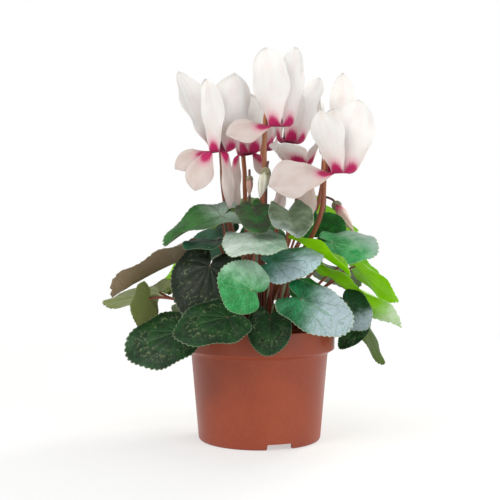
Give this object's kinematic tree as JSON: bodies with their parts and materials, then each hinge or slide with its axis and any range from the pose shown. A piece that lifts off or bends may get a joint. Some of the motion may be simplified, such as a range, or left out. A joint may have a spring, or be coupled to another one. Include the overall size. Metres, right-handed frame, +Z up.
{
  "type": "potted cyclamen",
  "caption": "White-flowered house plant with hooked stalks and heart-shaped marbled leaves, growing from a tuber in a round tapered nursery pot with a plain rim band.",
  "frame": {"origin": "bottom centre of the whole plant's box, on the surface that the pot stands on; the pot's axis stands 8.4 mm to +X and 9.05 mm to -Y of it", "axes": "+Z up along the pot's axis, -Y towards the front that the fullest leaves hang over, +X to the right of someone who looks at that front"},
  "size_m": [0.2374, 0.2062, 0.3075],
  "materials": {
    "pot_plastic": "satin terracotta-coloured plastic with a soft highlight",
    "peat_soil": "rough dark crumbly peat",
    "tuber_skin": "rough brown corky skin",
    "leaf": "waxy dark green blade, silvery marbling and pale veins, paler under side",
    "petal": "thin white petal, magenta at the mouth, light passes through",
    "stalk": "satin reddish brown stem",
    "bud": "pale twisted bud with a speckled calyx"
  },
  "bodies": {
    "root": {"pot": "pot_plastic", "soil": "peat_soil", "tuber": "tuber_skin", "leaf_01": "leaf", "leaf_02": "leaf", "leaf_03": "leaf", "leaf_04": "leaf", "leaf_05": "leaf", "leaf_06": "leaf", "leaf_07": "leaf", "leaf_08": "leaf", "leaf_09": "leaf", "leaf_10": "leaf", "leaf_11": "leaf", "leaf_12": "leaf", "leaf_13": "leaf", "leaf_14": "leaf", "leaf_15": "leaf", "leaf_16": "leaf", "leaf_17": "leaf", "leaf_18": "leaf", "leaf_19": "leaf", "leaf_20": "leaf", "leaf_21": "leaf", "leaf_22": "leaf", "leaf_23": "leaf", "leaf_24": "leaf", "leaf_25": "leaf", "leaf_26": "leaf", "leaf_27": "leaf", "leaf_28": "leaf", "leaf_29": "leaf", "leaf_30": "leaf", "leaf_31": "leaf", "leaf_32": "leaf", "leaf_33": "leaf", "leaf_34": "leaf", "leaf_35": "leaf", "leaf_36": "leaf", "leaf_37": "leaf", "leaf_38": "leaf", "flower_01_stalk": "stalk", "flower_02_stalk": "stalk", "flower_03_stalk": "stalk", "flower_04_stalk": "stalk", "flower_05_stalk": "stalk", "flower_06_stalk": "stalk", "flower_07_stalk": "stalk", "flower_08_stalk": "stalk", "flower_01_corolla": "petal", "flower_02_corolla": "petal", "flower_03_corolla": "petal", "flower_04_corolla": "petal", "flower_05_corolla": "petal", "flower_06_corolla": "petal", "flower_07_corolla": "petal", "flower_08_corolla": "petal", "bud_01": "bud", "bud_02": "bud", "bud_03": "bud"}
  },
  "joints": []
}
